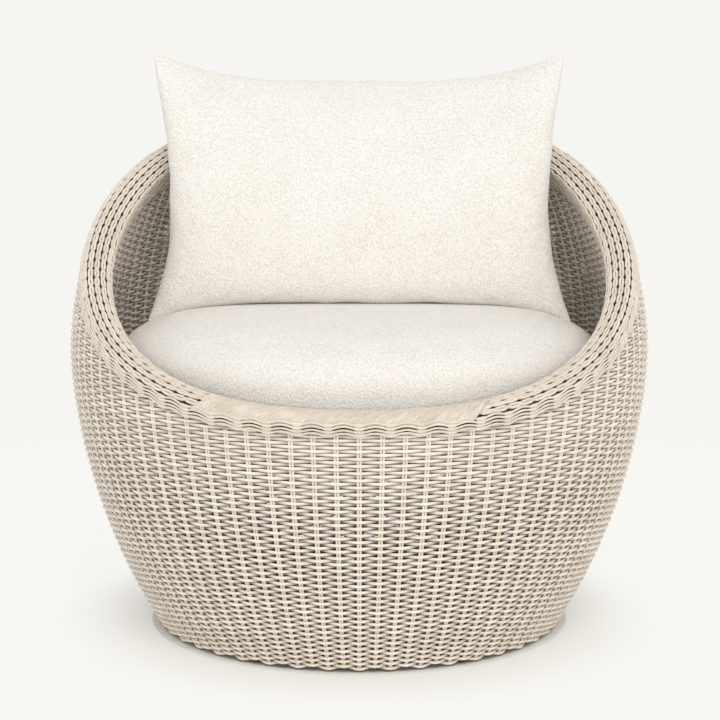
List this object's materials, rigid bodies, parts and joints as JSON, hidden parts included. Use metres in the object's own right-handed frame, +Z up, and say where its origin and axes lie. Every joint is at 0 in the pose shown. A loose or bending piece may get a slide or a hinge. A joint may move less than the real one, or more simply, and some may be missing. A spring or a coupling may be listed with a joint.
{
  "type": "woven tub lounge chair",
  "caption": "Round double-walled woven tub chair with a scooped rolled rim, a deep round seat cushion and a loose back cushion, standing flat on the floor.",
  "frame": {"origin": "middle of the foot on the floor, on the axis that the round shell is turned about", "axes": "+Z up; the chair faces -Y, where its rim is lowest; +X is the sitter's left"},
  "size_m": [0.8998, 0.8984, 0.8853],
  "materials": {
    "woven_resin": "woven round resin strand, natural straw colour",
    "inner_resin": "woven round resin strand, natural straw colour",
    "rim_resin": "resin strand wrapped over the rim tube",
    "foot_resin": "resin strand rolled into a hem",
    "deck_resin": "open woven resin strand",
    "frame_coating": "powder coated tube, satin brown",
    "rail_coating": "powder coated bar, satin brown",
    "glide_nylon": "moulded black nylon",
    "seat_boucle": "ivory looped boucle cover",
    "back_boucle": "ivory looped boucle cover",
    "zip_tape": "woven zip tape",
    "slider_nickel": "satin nickel plate"
  },
  "bodies": {
    "chair": {"outer_weave": "woven_resin", "inner_weave": "inner_resin", "rim_border": "rim_resin", "foot_border": "foot_resin", "foot_ring": "frame_coating", "seat_ring": "frame_coating", "rim_tube": "frame_coating", "rib_01": "frame_coating", "rib_02": "frame_coating", "rib_03": "frame_coating", "rib_04": "frame_coating", "rib_05": "frame_coating", "rib_06": "frame_coating", "rib_07": "frame_coating", "rib_08": "frame_coating", "rib_09": "frame_coating", "rib_10": "frame_coating", "rib_11": "frame_coating", "rib_12": "frame_coating", "seat_rail_front": "rail_coating", "seat_rail_middle": "rail_coating", "seat_rail_back": "rail_coating", "seat_deck": "deck_resin", "glide_1": "glide_nylon", "glide_2": "glide_nylon", "glide_3": "glide_nylon", "glide_4": "glide_nylon", "glide_5": "glide_nylon", "glide_6": "glide_nylon"},
    "seat_cushion": {"seat_cushion": "seat_boucle", "seat_zip": "zip_tape"},
    "seat_zip_slider": {"seat_zip_slider": "slider_nickel"},
    "back_cushion": {"back_cushion": "back_boucle", "back_zip": "zip_tape"},
    "back_zip_slider": {"back_zip_slider": "slider_nickel"}
  },
  "joints": [
    {"name": "seat_cushion_lift", "type": "slide", "parent": "chair", "child": "seat_cushion", "axis": [0, -0.3746, 0.9272], "range_m": [0, 0.42]},
    {"name": "back_cushion_lift", "type": "slide", "parent": "seat_cushion", "child": "back_cushion", "axis": [0, -0.3746, 0.9272], "range_m": [0, 0.4]},
    {"name": "seat_zip_run", "type": "hinge", "parent": "seat_cushion", "child": "seat_zip_slider", "pos_m": [0, 0, 0.3639], "axis": [0, 0, 1], "range_deg": [0, 82.5]},
    {"name": "back_zip_run", "type": "slide", "parent": "back_cushion", "child": "back_zip_slider", "axis": [-1, 0, 0], "range_m": [0, 0.26]}
  ]
}
